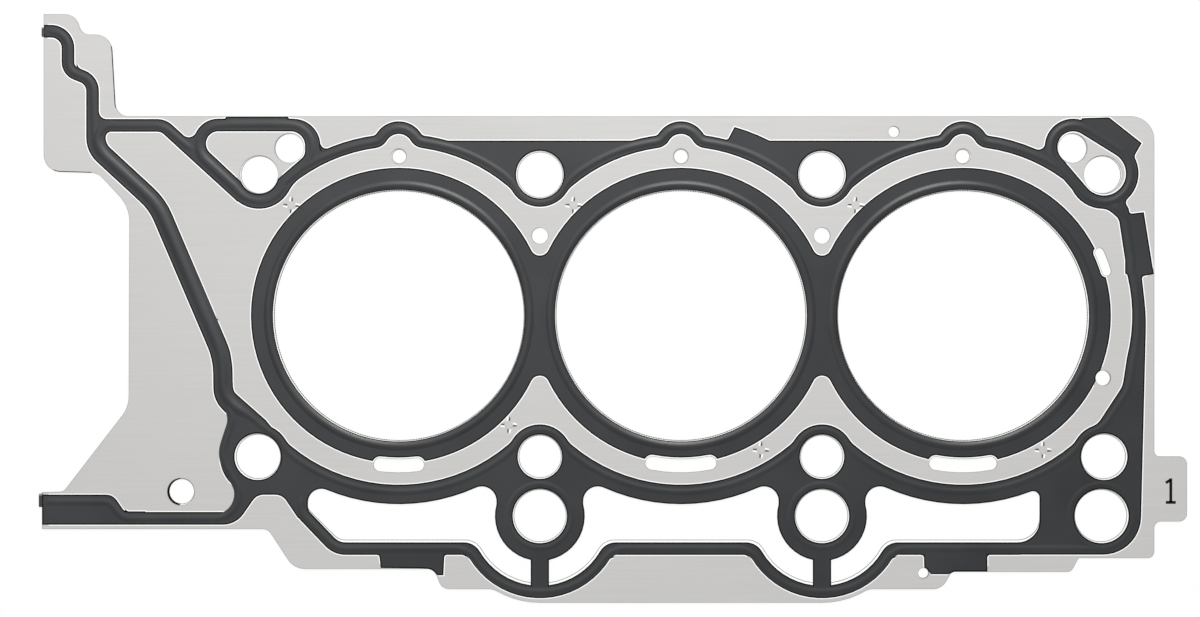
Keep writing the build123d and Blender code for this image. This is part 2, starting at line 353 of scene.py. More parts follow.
def normals(points: Line, closed: bool) -> Line:
    """Left-hand unit normals along a line.

    Args:
        points: the line.
        closed: whether the line is a loop.

    Returns:
        The normals.
    """
    loop_way = np.roll(points, -1, axis=0) - np.roll(points, 1, axis=0)
    return left_of(unit(loop_way if closed else np.gradient(points, axis=0)))


def unit(vectors: Line) -> Line:
    """Scales vectors to length 1."""
    return vectors / np.linalg.norm(vectors, axis=-1, keepdims=True)


def left_of(vectors: Line) -> Line:
    """Turns vectors a quarter turn to the left."""
    return np.stack([-vectors[..., 1], vectors[..., 0]], axis=-1)


def directions(turns: np.ndarray) -> Line:
    """Unit vectors at the given angles."""
    return np.column_stack([np.cos(turns), np.sin(turns)])


def raised(points: Line, height: float) -> np.ndarray:
    """Puts flat points at one height, as an (n, 3) array."""
    return np.column_stack([points, np.full(len(points), height)])


def film(level: float, half: float) -> tuple[float, float]:
    """Heights of the upper and lower face of a thin layer laid in a surface."""
    return level + half, level - half


def smoothed(values: np.ndarray, rounds: int, closed: bool) -> np.ndarray:
    """Averages each value with its neighbours, a number of times.

    Args:
        values: numbers or points.
        rounds: how many times.
        closed: whether the ends meet.

    Returns:
        The smoothed values.
    """
    result = values.astype(float).copy()
    for _ in range(rounds):
        mean = (np.roll(result, 1, axis=0) + 2 * result + np.roll(result, -1, axis=0)) / 4
        if not closed:
            mean[0], mean[-1] = result[0], result[-1]
        result = mean
    return result


def shifted(loop: Line, distance: float) -> Line:
    """Moves a closed loop to its left, with mitred corners.

    Args:
        loop: the loop.
        distance: how far; a negative distance moves it to the right.

    Returns:
        The moved loop.
    """
    left = left_of(unit(np.roll(loop, -1, axis=0) - loop))
    middle = unit(left + np.roll(left, 1, axis=0))
    mitre = 1 / np.clip(np.sum(middle * left, axis=1), MITRE_LIMIT, 1)
    return loop + middle * (mitre * distance)[:, None]


def divided(loop: Line, longest: float) -> Line:
    """Divides the long runs of a closed loop and keeps its corners.

    Args:
        loop: the loop.
        longest: the longest run that stays whole.

    Returns:
        The loop with the new points.
    """
    points: list[np.ndarray] = []
    for here, there in zip(loop, np.roll(loop, -1, axis=0)):
        pieces = max(1, math.ceil(float(np.linalg.norm(there - here)) / longest))
        points += [here + (there - here) * piece / pieces for piece in range(pieces)]
    return np.array(points)


@dataclass
class SweptMesh:
    """A mesh that grows from closed cross-sections swept along lines, in millimetres."""

    vertices: list[tuple[float, float, float]] = field(default_factory=list)
    faces: list[tuple[int, ...]] = field(default_factory=list)

    def sweep(self, sections: np.ndarray, closed: bool) -> None:
        """Joins a row of cross-sections with faces.

        Args:
            sections: an (n, k, 3) array; seen along the line, each section starts at its top right.
            closed: whether the last section joins the first; otherwise the ends are capped.
        """
        base = len(self.vertices)
        count, ring = sections.shape[:2]
        self.vertices += [tuple(vertex) for vertex in (sections.reshape(-1, 3) * MM).tolist()]
        for row in range(count if closed else count - 1):
            here = base + row * ring
            there = base + (row + 1) % count * ring
            for column in range(ring):
                after = (column + 1) % ring
                self.faces.append((here + column, there + column, there + after, here + after))
        if not closed:
            last = base + (count - 1) * ring
            self.faces.append(tuple(base + column for column in range(ring)))
            self.faces.append(tuple(last + column for column in reversed(range(ring))))

    def strip(self, right: Line, left: Line, heights: tuple[float, float], closed: bool = False) -> None:
        """Adds a flat strip.

        Args:
            right: the line along its right side.
            left: the line along its left side.
            heights: heights of its upper and its lower face.
            closed: whether it is a loop.
        """
        top, foot = heights
        sides = ((right, top), (left, top), (left, foot), (right, foot))
        self.sweep(np.stack([raised(side, height) for side, height in sides], axis=1), closed)

    def plate(self, outline: Line, heights: tuple[float, float]) -> None:
        """Adds a flat plate of this outline, with its upper and its lower face at these heights."""
        self.sweep(np.stack([raised(outline, height) for height in heights]), False)

    def piece(self, name: str, smooth: bool) -> Object:
        """Makes the object.

        Args:
            name: its name.
            smooth: whether it is shaded smooth.

        Returns:
            The mesh object.
        """
        mesh = bpy.data.meshes.new(name)
        mesh.from_pydata(self.vertices, [], self.faces)
        if smooth:
            mesh.shade_smooth()
            mesh.set_sharp_from_angle(angle=CREASE)
        made = bpy.data.objects.new(name, mesh)
        bpy.context.scene.collection.objects.link(made)
        return made


# ---- Sub-assemblies ----


@dataclass
class Outline:
    """The edges of one upward level of a CAD node, each loop with the solid on its left."""

    node: Object
    which: Level = Level.WIDEST
    smallest: float = 0.5
    weld: ClassVar[float] = 1e-6
    upward: ClassVar[float] = 0.9
    flatness: ClassVar[float] = 2e-6
    height: float = field(init=False)
    loops: list[Line] = field(init=False)

    def __post_init__(self) -> None:
        """Collects the closed loops round the level, in millimetres."""
        mesh = bmesh.new()
        mesh.from_mesh(self.node.data)
        bmesh.ops.remove_doubles(mesh, verts=mesh.verts, dist=self.weld)
        top = self.level(mesh)
        self.height = top / MM
        mesh.faces.ensure_lookup_table()
        flat = {face.index for face in mesh.faces if self.lies_at(face, top)}
        following: dict[int, list[int]] = {}
        place = {}
        for number in sorted(flat):
            for loop in mesh.faces[number].loops:
                beyond = [other for other in loop.edge.link_faces if other.index != number]
                if any(other.index in flat or other.calc_center_median().z > top for other in beyond):
                    continue
                here, there = loop.vert, loop.link_loop_next.vert
                following.setdefault(here.index, []).append(there.index)
                place[here.index] = (here.co.x / MM, here.co.y / MM)
        mesh.free()
        chains = [np.array([place[number] for number in chain if number in place]) for chain in chained(following)]
        self.loops = [loop for loop in chains if abs(area_of(loop)) > self.smallest]

    def lies_at(self, face: bmesh.types.BMFace, top: float) -> bool:
        """Tells whether a face looks up and lies at one height."""
        return face.normal.z > self.upward and all(abs(vert.co.z - top) < self.flatness for vert in face.verts)

    def level(self, mesh: bmesh.types.BMesh) -> float:
        """Height of the chosen level: the widest or the highest of the upward faces' levels."""
        levels: dict[float, float] = {}
        for face in mesh.faces:
            if face.normal.z > self.upward:
                key = round(face.calc_center_median().z, 6)
                levels[key] = levels.get(key, 0.0) + face.calc_area()
        return max(levels) if self.which is Level.HIGHEST else max(levels, key=levels.get)

    def covers(self, points: Line) -> np.ndarray:
        """Tells which points lie on the level, as an (n,) array of truth values."""
        crossings = np.array([[encloses(loop, x, y) for loop in self.loops] for x, y in points])
        return crossings.sum(axis=1) % 2 == 1

    def loop_round(self, x: float, y: float) -> Line:
        """Finds the smallest loop that encloses a point."""
        holding = [loop for loop in self.loops if encloses(loop, x, y)]
        return min(holding, key=lambda loop: abs(area_of(loop)))

    def circle_round(self, x: float, y: float) -> tuple[Line, float]:
        """Finds the centre and the mean radius of the hole round a point."""
        loop = self.loop_round(x, y)
        middle = loop.mean(axis=0)
        return middle, float(np.linalg.norm(loop - middle, axis=1).mean())


def chained(following: dict[int, list[int]]) -> list[list[int]]:
    """Joins edges end to end.

    Args:
        following: for each corner, the corners that edges lead to from there; it is used up.

    Returns:
        The corners of each chain.
    """
    chains = []
    while following:
        chain = [next(iter(following))]
        while chain[-1] in following:
            there = following[chain[-1]].pop()
            if not following[chain[-1]]:
                del following[chain[-1]]
            if there == chain[0]:
                break
            chain.append(there)
        chains.append(chain)
    return chains


def encloses(loop: Line, x: float, y: float) -> bool:
    """Tells whether a closed loop goes round a point."""
    after = np.roll(loop, -1, axis=0)
    crosses = (loop[:, 1] > y) != (after[:, 1] > y)
    with np.errstate(divide="ignore", invalid="ignore"):
        at = (after[:, 0] - loop[:, 0]) * (y - loop[:, 1]) / (after[:, 1] - loop[:, 1]) + loop[:, 0]
    return bool(np.count_nonzero(crosses & (x < at)) % 2)


def area_of(loop: Line) -> float:
    """Signed area of a closed loop, positive if it runs anticlockwise."""
    after = np.roll(loop, -1, axis=0)
    return float(np.sum(loop[:, 0] * after[:, 1] - after[:, 0] * loop[:, 1]) / 2)


def reach_across(
    points: Line, ways: Line, loops: list[Line], nearest: float = 0.6, farthest: float = 60.0
) -> tuple[np.ndarray, np.ndarray]:
    """Finds the next edge that each point meets along its direction.

    Args:
        points: the points.
        ways: the directions, as unit vectors.
        loops: every edge loop of the print.
        nearest: edges nearer than this don't count, because the point stands on them.
        farthest: the distance given where no edge is met.

    Returns:
        The distances and the numbers of the loops met, as (n,) arrays; -1 where none is near.
    """
    starts = np.vstack(loops)
    spans = np.vstack([np.roll(loop, -1, axis=0) - loop for loop in loops])
    owners = np.concatenate([np.full(len(loop), index) for index, loop in enumerate(loops)])
    reach = np.full(len(points), farthest)
    met = np.full(len(points), -1)
    for index, (point, way) in enumerate(zip(points, ways)):
        gap = starts - point
        cross = way[0] * spans[:, 1] - way[1] * spans[:, 0]
        with np.errstate(divide="ignore", invalid="ignore"):
            along = (gap[:, 0] * spans[:, 1] - gap[:, 1] * spans[:, 0]) / cross
            inside = (gap[:, 0] * way[1] - gap[:, 1] * way[0]) / cross
        hits = np.flatnonzero((inside >= 0) & (inside <= 1) & (along > nearest))
        if len(hits):
            closest = hits[np.argmin(along[hits])]
            reach[index], met[index] = along[closest], owners[closest]
    return reach, met


def runs(shown: np.ndarray) -> list[np.ndarray]:
    """Splits a closed loop of points into the runs that are shown.

    Args:
        shown: truth values, one for each point.

    Returns:
        The points' numbers in each run; one run holds them all if all are shown.
    """
    if shown.all():
        return [np.arange(len(shown))]
    order = (np.arange(len(shown)) + int(np.argmin(shown))) % len(shown)
    pieces = np.split(order, np.flatnonzero(~shown[order]))
    return [piece[1:] for piece in pieces if len(piece) > 2]


@dataclass(frozen=True)
class TrackRule:
    """How wide a printed track may be and how much of it a bead takes, in millimetres."""

    widest: float = 5.6
    widest_at_case: float = 8.8
    case_x: float = -165.0
    inset: float = 2.75
    inset_share: float = 0.58
    track_share: float = 0.35
    slimmest: float = 1.1
    broadest: float = 2.6
    most: float = 0.92
    width_rounds: int = 10
    line_rounds: int = 3


@dataclass
class BeadLine:
    """The middle line of one full bead and its half width along the way, in millimetres."""

    points: Line
    half_width: np.ndarray
    closed: bool
    step: ClassVar[float] = 1.0
    fewest: ClassVar[int] = 24

    @classmethod
    def along(cls, corners: list[Corner], width: float) -> BeadLine:
        """Makes an open line of even width through rounded corners."""
        points = resampled(rounded_line(corners), cls.step, False)
        return cls(points, np.full(len(points), width / 2), False)

    @classmethod
    def ring(cls, x: float, y: float, radius: float, width: float) -> BeadLine:
        """Makes a round line.

        Args:
            x: its centre's place.
            y: its centre's place.
            radius: its radius.
            width: the bead's width.

        Returns:
            The line.
        """
        count = max(cls.fewest, round(2 * math.pi * radius / cls.step))
        turns = np.arange(count) * 2 * math.pi / count
        return cls((x, y) + radius * directions(turns), np.full(count, width / 2), True)

    @classmethod
    def beside(cls, outline: Outline, place: Point, taken: tuple[Point, ...] = ()) -> list[BeadLine]:
        """Makes the lines that keep to the middle of the track beside one edge of the print.

        Args:
            outline: the edges of the print.
            place: a place that the edge goes round.
            taken: places in loops whose tracks have lines of their own.

        Returns:
            One line all round, or one for each stretch that isn't taken.
        """
        rule = TrackRule()
        edge = resampled(outline.loop_round(*place), cls.step, True)
        widest = np.where(edge[:, 0] < rule.case_x, rule.widest_at_case, rule.widest)
        inward = normals(edge, True)
        track, met = reach_across(edge, inward, outline.loops)
        is_track = track < widest
        middle = smoothed(np.where(is_track, track / 2, rule.inset), rule.width_rounds, True)
        share = np.clip(rule.track_share * track, rule.slimmest, rule.broadest)
        half = smoothed(np.where(is_track, share, rule.inset_share * rule.inset), rule.width_rounds, True)
        half = np.minimum(half, rule.most * middle)
        points = smoothed(edge + inward * middle[:, None], rule.line_rounds, True)
        own = np.full(len(points), True)
        for x, y in taken:
            loop = outline.loop_round(x, y)
            number = next(index for index, other in enumerate(outline.loops) if other is loop)
            own &= ~((met == number) & is_track)
        return [cls(points[run], half[run], bool(own.all())) for run in runs(own)]


@dataclass
class BeadRidges:
    """Full beads: low rounded ridges pressed up along the middle of the printed tracks."""

    bulge: float = 0.05
    roundness: float = 2.0
    columns: int = 11
    fade: float = 3.0
    rise: float = 0.002
    root: float = 0.01

    def build(self, lines: list[BeadLine], level: float) -> SweptMesh:
        """Builds a closed ridge along every line.

        Args:
            lines: the middle lines.
            level: height of the printed surface, in millimetres.

        Returns:
            The ridges.
        """
        ridges = SweptMesh()
        for line in lines:
            ridges.sweep(self.sections(line, level), line.closed)
        return ridges

    def sections(self, line: BeadLine, level: float) -> np.ndarray:
        """Cross-sections of the ridge along one line.

        Args:
            line: its middle line.
            level: height of the printed surface.

        Returns:
            The sections for SweptMesh.sweep.
        """
        count = len(line.points)
        lift = self.bulge * line.half_width**2
        if not line.closed:
            ends = np.minimum(np.arange(count), np.arange(count)[::-1]) * line.step / self.fade
            lift = lift * np.sin(np.clip(ends, 0, 1) * math.pi / 2) ** 2
        spots = np.linspace(-1, 1, self.columns)
        profile = np.clip(np.cos(spots * math.pi / 2), 0, 1) ** self.roundness
        reach = np.append(spots, (1, -1))[None, :] * line.half_width[:, None]
        across = normals(line.points, line.closed)
        flat = line.points[:, None, :] + across[:, None, :] * reach[:, :, None]
        tops = level + self.rise + lift[:, None] * profile[None, :]
        feet = np.full((count, 2), level - self.root)
        return np.dstack([flat, np.hstack([tops, feet])])


@dataclass
class BeadPlan:
    """Where the beads run on one printed face."""

    tracks: Outline
    bore_radius: float = 50.08
    bore_width: float = 3.2
    track_width: float = 3.4
    return_holes: tuple[Point, ...] = ((-54.0, -76.7), (54.0, -76.7), (161.0, -76.7))
    return_radius: float = 12.2
    return_width: float = 2.8
    bolt_loops: tuple[Point, Point] = ((-170.0, 67.0), (156.0, 59.0))
    tower: ClassVar[list[Corner]] = [
        (-243.7, 108.85, 0), (-234.6, 108.85, 6.5), (-234.6, 93.8, 4.8), (-225.2, 90.0, 6), (-224.4, 66, 0),
    ]
    front_rail: ClassVar[list[Corner]] = [
        (-244.3, -71.2, 0), (-218.8, -71.2, 5), (-213.6, -77.6, 5), (-171.2, -77.6, 9),
        (-168.8, -67.0, 8), (-176.2, -54.0, 12), (-171.6, -40.0, 8), (-174.4, -30.0, 0),
    ]

    def bore_lines(self) -> list[BeadLine]:
        """Beads round the bores."""
        return [BeadLine.ring(x, 0, self.bore_radius, self.bore_width) for x in BORES]

    def track_lines(self) -> list[BeadLine]:
        """Beads along the outer tracks.

        Returns:
            The lines.
        """
        lines = BeadLine.beside(self.tracks, (0.0, 0.0), self.bolt_loops)
        for place in self.bolt_loops:
            lines += BeadLine.beside(self.tracks, place)
        lines += [BeadLine.ring(x, y, self.return_radius, self.return_width) for x, y in self.return_holes]
        lines += [BeadLine.along(line, self.track_width) for line in (self.tower, self.front_rail, self.sump_rail())]
        return lines

    @staticmethod
    def sump_rail() -> list[Corner]:
        """Line below the windows, round the two return holes."""
        corners = [(-145.4, -69.0, 0), (-145.4, -75.6, 5.4), (-132.0, -89.2, 8.4)]
        for x in (-54.0, 54.0):
            corners += [(x - 27.6, -89.2, 9), (x - 15.6, -105.7, 28), (x + 15.6, -105.7, 28), (x + 27.6, -89.2, 9)]
        return corners + [(166.0, -89.2, 0)]


@dataclass
class EdgeStrips:
    """Thin strips that follow edges: painted shade along the print's edges, painted highlights on the steel and the
    sheared edges' darker band, which is partly painted shade.
    """

    longest: float = 2.5
    tuck: float = 0.02
    margin: float = 0.05

    def along(self, outline: Outline, near: float, far: float) -> SweptMesh:
        """Builds strips on an outline's own surface, beside all its edges.

        Args:
            outline: the edges.
            near: distance of the strips' outer side from the edge.
            far: distance of the strips' inner side from the edge.

        Returns:
            The strips.
        """
        strips = SweptMesh()
        for loop in outline.loops:
            strips.strip(shifted(loop, near), shifted(loop, far), film(outline.height, HALF_FILM), True)
        return strips

    def outside(self, outline: Outline, ground: Outline, width: float) -> SweptMesh:
        """Builds strips outside an outline, wherever the ground below carries them.

        Args:
            outline: the edges.
            ground: the surface that the strips lie on.
            width: the strips' width.

        Returns:
            The strips.
        """
        strips = SweptMesh()
        for loop in outline.loops:
            edge = divided(loop, self.longest)
            right, left = shifted(edge, -width), shifted(edge, self.tuck)
            carried = ground.covers(shifted(edge, -width - self.margin))
            for run in runs(carried):
                strips.strip(right[run], left[run], film(ground.height, HALF_FILM), bool(carried.all()))
        return strips


@dataclass
class EdgeShades:
    """Painted shade: dark lines along two stretches of the outer edge."""

    width: float = 0.32
    lift: float = 0.004
    longest: float = 1.0
    stretches: tuple[tuple[Point, Point], ...] = (
        ((-240.4, 53.0), (-225.0, 57.5)),
        ((-219.5, 79.5), (-214.5, 103.5)),
    )

    def build(self, sheet: Outline) -> SweptMesh:
        """Builds the lines.

        Args:
            sheet: the upper sheet's outline.

        Returns:
            The lines.
        """
        strips = SweptMesh()
        edge = divided(max(sheet.loops, key=area_of), self.longest)
        inner = edge + normals(edge, True) * self.width
        for low, high in self.stretches:
            inside = ((edge > low) & (edge < high)).all(axis=1)
            for run in runs(inside):
                strips.strip(edge[run], inner[run], film(sheet.height + self.lift, HALF_FILM))
        return strips


@dataclass
class SoftCorners:
    """Print that has run into the inner corners of its outline and rounds them."""

    prints: Outline
    steel: Outline
    small: float = 1.0
    large: float = 2.2
    least: float = 0.4
    shortest_side: float = 0.35
    side_share: float = 0.95
    step: float = 0.25
    sharp_turn: float = math.radians(75)
    soft_turn: float = math.radians(40)
    cover: float = 0.55
    lift: float = 0.01
    rim_lift: float = 0.003
    junctions: tuple[Point, ...] = ((-220.15, 70.35), (-137.15, 63.2), (169.8, 43.7))
    arcs: list[tuple[Line, Line]] = field(init=False)

    def __post_init__(self) -> None:
        """Finds the inner corners that lie on bare steel, each as its arc and its sharp corner."""
        self.arcs = []
        for loop in self.prints.loops:
            kept = loop[np.linalg.norm(loop - np.roll(loop, 1, axis=0), axis=1) > self.shortest_side]
            for before, here, after in zip(np.roll(kept, 1, axis=0), kept, np.roll(kept, -1, axis=0)):
                sides = np.array([here - before, after - here])
                first, second = unit(sides)
                turn = math.atan2(-left_of(first) @ second, first @ second)
                if turn < self.soft_turn:
                    continue
                shortest = float(np.linalg.norm(sides, axis=1).min())
                radius = min(self.radius(here, turn), self.side_share * shortest / math.tan(turn / 2))
                line = rounded_line([(*before, 0), (*here, radius), (*after, 0)], step=self.step)[1:-1]
                if radius > self.least and self.steel.covers(line).all():
                    self.arcs.append((line, here))

    def radius(self, here: Line, turn: float) -> float:
        """Radius of the corner that stands here and turns so far."""
        junction = any(math.dist(here, spot) < 1 for spot in self.junctions)
        return self.large if junction or turn < self.sharp_turn else self.small

    def fills(self) -> SweptMesh:
        """Builds the print that fills the corners.

        Returns:
            The fills.
        """
        plates = SweptMesh()
        for line, here in self.arcs:
            across = normals(line, False) * self.cover
            back = here + unit(here - line[len(line) // 2]) * self.cover
            shape = np.vstack([line, line[-1] + across[-1], back, line[0] + across[0]])
            plates.plate(shape, (self.prints.height + self.lift, self.steel.height + self.lift))
        return plates

    def lines(self, near: float, far: float) -> SweptMesh:
        """Builds strips along the arcs: on the print where they lie inside it, otherwise on the steel.

        Args:
            near: distance of the strips' right side to the arc's left.
            far: distance of the strips' left side to the arc's left.

        Returns:
            The strips.
        """
        strips = SweptMesh()
        level = self.prints.height + self.lift if near >= 0 else self.steel.height + self.rim_lift
        for line, _ in self.arcs:
            across = normals(line, False)
            strips.strip(line + across * near, line + across * far, film(level, HALF_FILM))
        return strips


@dataclass
class ClinchCutShading:
    """The four short cuts at the corners of each clinch, where the punch has split the steel, drawn as painted shade
    with a painted highlight beside each.
    """

    inner: float = 1.5
    outer: float = 3.1
    half_widths: Point = (0.4, 0.18)
    lit_shift: float = 0.7

    def build(self, clinches: Outline, level: float, shift: float) -> SweptMesh:
        """Builds four slim wedges round every clinch.

        Args:
            clinches: the outline of the clinches' tops.
            level: height of the sheet's surface.
            shift: how far the wedges stand beside the corners' lines.

        Returns:
            The wedges.
        """
        wedges = SweptMesh()
        for loop in clinches.loops:
            middle = loop.mean(axis=0)
            for corner in loop:
                way = unit(corner - middle)
                side = left_of(way)
                spots = np.outer((self.inner, self.outer), way) + middle + side * shift
                half = np.outer(self.half_widths, side)
                wedges.strip(spots - half, spots + half, film(level, HALF_MARK))
        return wedges


@dataclass
class RimTeeth:
    """Fine teeth that the punch leaves round each bore on the lower sheet's rim, coloured near black as painted
    shade under the upper sheet's edge.
    """

    pitch: float = 0.95
    width: float = 0.42
    near: float = -0.12
    far: float = 0.25
    rise: float = 0.03
    root: float = 0.01

    def build(self, rim: Outline) -> SweptMesh:
        """Builds the teeth.

        Args:
            rim: the lower sheet's outline.

        Returns:
            The teeth.
        """
        teeth = SweptMesh()
        for x in BORES:
            middle, radius = rim.circle_round(x, 0)
            count = round(2 * math.pi * radius / self.pitch)
            for way in directions(np.arange(count) * 2 * math.pi / count):
                side = left_of(way) * self.width / 2
                spots = middle + np.outer((radius + self.near, radius + self.far), way)
                teeth.strip(spots - side, spots + side, (rim.height + self.rise, rim.height - self.root))
        return teeth


@dataclass
class CutNib:
    """A nib left on the sheets' edge where they were cut from their strip, with the print running over it."""

    tip: float
    edge: float
    bottom: float
    top: float
    print_top: float
    corner: float = 0.4
    step: float = 0.2
    overlap: float = 0.02

    def outline(self, top: float) -> Line:
        """Outline of the nib up to a height on the sheet."""
        inner = self.edge + self.overlap
        outer = [(self.tip, top, self.corner), (self.tip, self.bottom, self.corner)]
        return rounded_line(outer + [(inner, self.bottom, 0), (inner, top, 0)], closed=True, step=self.step)


@dataclass
class HoleCrescent:
    """Painted shade: a near-black sliver on the lower sheet, on one side of a hole, where the hole's wall and the
    gap under the upper sheet lie in shade.
    """

    x: float = -191.6
    y: float = -67.4
    start: float = math.radians(95)
    end: float = math.radians(265)
    pieces: int = 24
    half_height: float = 0.008

    def build(self, upper: Outline, lower: Outline) -> SweptMesh:
        """Builds the sliver between the edges of the two sheets' holes.

        Args:
            upper: the upper sheet's outline.
            lower: the lower sheet's outline.

        Returns:
            The sliver.
        """
        ways = directions(np.linspace(self.start, self.end, self.pieces + 1))
        circles = [sheet.circle_round(self.x, self.y) for sheet in (upper, lower)]
        wide, slim = (middle + ways * radius for middle, radius in circles)
        sliver = SweptMesh()
        sliver.strip(wide, slim, film(lower.height, self.half_height))
        return sliver


@dataclass
class TabMark:
    """A plain numeral stamped in ink on the tab, which tells one side of the engine from the other."""

    x: float = 187.5
    top: float = -62.3
    bottom: float = -71.5
    stroke: float = 1.1
    flag: float = 1.9
    flag_drop: float = 1.71

    def build(self, level: float) -> SweptMesh:
        """Builds the strokes of the numeral one.

        Args:
            level: height of the sheet's surface.

        Returns:
            The strokes.
        """
        strokes = SweptMesh()
        for start, end in (
            ((self.x, self.bottom), (self.x, self.top)),
            ((self.x - self.flag, self.top - self.flag_drop), (self.x, self.top - self.stroke / 2)),
            ((self.x - self.flag, self.bottom), (self.x + self.flag, self.bottom)),
        ):
            line = np.array([start, end])
            half = normals(line, False) * self.stroke / 2
            strokes.strip(line - half, line + half, film(level, HALF_MARK))
        return strokes


@dataclass
class Gasket:
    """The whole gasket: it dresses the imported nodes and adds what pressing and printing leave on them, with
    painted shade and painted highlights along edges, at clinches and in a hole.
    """

    frame: dict
    bank_width: float = 0.5
    burnish_width: float = 0.36
    sheared_shade_width: float = 0.16
    lower_shear_width: float = 0.26
    ledge_width: float = 1.5
    nib_root: float = 0.01
    nibs: tuple[CutNib, ...] = (
        CutNib(tip=-245.8, edge=-244.2, bottom=-73.3, top=-68.1, print_top=-68.8),
        CutNib(tip=-244.7, edge=-243.9, bottom=106.7, top=110.4, print_top=110.0),
    )
    finishes: dict[str, Material] = field(init=False)
    upper: Outline = field(init=False)
    lower: Outline = field(init=False)
    prints: dict[str, Outline] = field(init=False)

    def __post_init__(self) -> None:
        """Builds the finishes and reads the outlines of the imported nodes."""
        grain, mottle = rolled_grain_group(), print_mottle_group()
        self.finishes = {finish.name: finish.make(ROLLED, grain) for finish in STEELS}
        self.finishes |= {finish.name: finish.make(PRINTED, mottle) for finish in PRINTS}
        nodes = self.frame["nodes"]
        self.upper, self.lower = Outline(nodes["upper_sheet"]), Outline(nodes["lower_sheet"])
        self.prints = {part: Outline(nodes[f"upper_{part}_print"]) for part in ("track", "bore")}

    def build(self) -> None:
        """Builds and dresses every piece."""
        self.dress()
        printed = self.add_print()
        self.add_steel_edges()
        self.add_marks()
        self.add_nibs()
        self.add_underside(printed)

    def dress(self) -> None:
        """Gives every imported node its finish."""
        for name, node in self.frame["nodes"].items():
            material = self.finishes["rolled_steel" if name.endswith("sheet") else "printed_elastomer"]
            node.data.materials.clear()
            node.data.materials.append(material)
            LOG.info("dressed %s with %s", name, material.name)

    def add_print(self) -> list[Object]:
        """Adds the beads, painted shade along the print's edges (partly the real raised edge of the print), a
        painted highlight on the steel at its rounded corners and the print that rounds its corners.

        Returns:
            The pieces that belong to the print.
        """
        tracks = self.prints["track"]
        plan, soft = BeadPlan(tracks), SoftCorners(tracks, self.upper)
        steep = BeadRidges(bulge=0.122, roundness=1.0).build(plan.bore_lines(), tracks.height)
        low = BeadRidges().build(plan.track_lines(), tracks.height)
        made = [
            self.add("upper_bore_beads", steep, "printed_elastomer", smooth=True),
            self.add("upper_track_beads", low, "printed_elastomer", smooth=True),
        ]
        for part, outline in self.prints.items():
            # Painted shade along the print's edges, partly the real raised edge of the print.
            print_edge_shade = EdgeStrips().along(outline, 0.0, self.bank_width)
            made.append(self.add(f"upper_{part}_bank", print_edge_shade, "banked_print"))
        # Painted highlight on the steel along the arcs of the rounded corners.
        self.add("corner_burnish", soft.lines(-self.burnish_width, 0.0), "burnished_steel")
        # Painted shade along the arcs of the rounded corners.
        print_edge_shade = self.add("upper_corner_bank", soft.lines(0.0, self.bank_width), "banked_print")
        return made + [self.add("upper_corner_fill", soft.fills(), "printed_elastomer"), print_edge_shade]

    def add_steel_edges(self) -> None:
        """Adds a painted highlight on the steel beside the print, the sheared edges of both sheets with their
        painted shade, the lower sheet's ledge painted near white as a highlight and what lies on them.
        """
        strips, upper, lower = EdgeStrips(), self.upper, self.lower
        for part, outline in self.prints.items():
            # A painted highlight: a near-white band on the steel beside the print's edges.
            self.add(f"{part}_burnish", strips.outside(outline, upper, self.burnish_width), "burnished_steel")
        for name, shape, finish in (
            # Darker bands along both sheets' edges: the real shear zone and painted shade of the edge walls.
            ("upper_sheared_edge", strips.along(upper, 0.0, self.sheared_shade_width), "sheared_and_shaded_steel"),
            ("lower_sheared_edge", strips.along(lower, 0.0, self.lower_shear_width), "sheared_and_shaded_steel"),
            # The lower sheet's ledge is real; its near-white colour is a painted highlight.
            ("lower_ledge", strips.along(lower, self.lower_shear_width, self.ledge_width), "burnished_steel"),
            # Teeth coloured near black: painted shade under the upper sheet's edge.
            ("rim_teeth", RimTeeth().build(lower), "painted_shade_steel"),
            # Painted shade in one hole.
            ("hole_crescent", HoleCrescent().build(upper, lower), "banked_print"),
            ("edge_shades", EdgeShades().build(upper), "banked_print"),
        ):
            self.add(name, shape, finish)

    def add_marks(self) -> None:
        """Adds painted shade in the clinches' cuts, painted highlights beside them and the numeral on the tab."""
        cuts, level = ClinchCutShading(), self.upper.height
        clinches = Outline(self.frame["nodes"]["upper_sheet"], Level.HIGHEST)
        # Near-black wedges are painted shade in the cuts; the shifted near-white copies are painted highlights.
        self.add("clinch_cut_shade", cuts.build(clinches, level, 0.0), "painted_shade_steel")
        self.add("clinch_highlights", cuts.build(clinches, level, cuts.lit_shift), "burnished_steel")
        self.add("tab_mark", TabMark().build(level), "marking_ink")

    def add_nibs(self) -> None:
        """Adds the nibs on the edge and the print over them."""
        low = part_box("lower_sheet")[0].z / MM
        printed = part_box("upper_track_print")[1].z / MM
        sheet = self.upper.height
        steel, film_over = SweptMesh(), SweptMesh()
        for nib in self.nibs:
            steel.plate(nib.outline(nib.top), (sheet, low))
            film_over.plate(nib.outline(nib.print_top), (printed, sheet - self.nib_root))
        # The nibs take the sheared finish, which includes painted shade.
        self.add("edge_nibs", steel, "sheared_and_shaded_steel")
        self.add("nib_print", film_over, "printed_elastomer")

    def add_underside(self, printed: list[Object]) -> None:
        """Mirrors the printing and its beads to the underside.

        Args:
            printed: the upper face's added pieces.
        """
        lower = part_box("lower_sheet")[0].z
        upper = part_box("upper_track_print")[0].z
        for source in [outline.node for outline in self.prints.values()] + printed:
            mesh = source.data.copy()
            piece = bpy.data.objects.new(source.name.replace("upper", "lower"), mesh)
            bpy.context.scene.collection.objects.link(piece)
            for vertex in mesh.vertices:
                vertex.co.z = lower + upper - vertex.co.z
            mesh.flip_normals()
            self.finish(piece, source.data.materials[0].name)

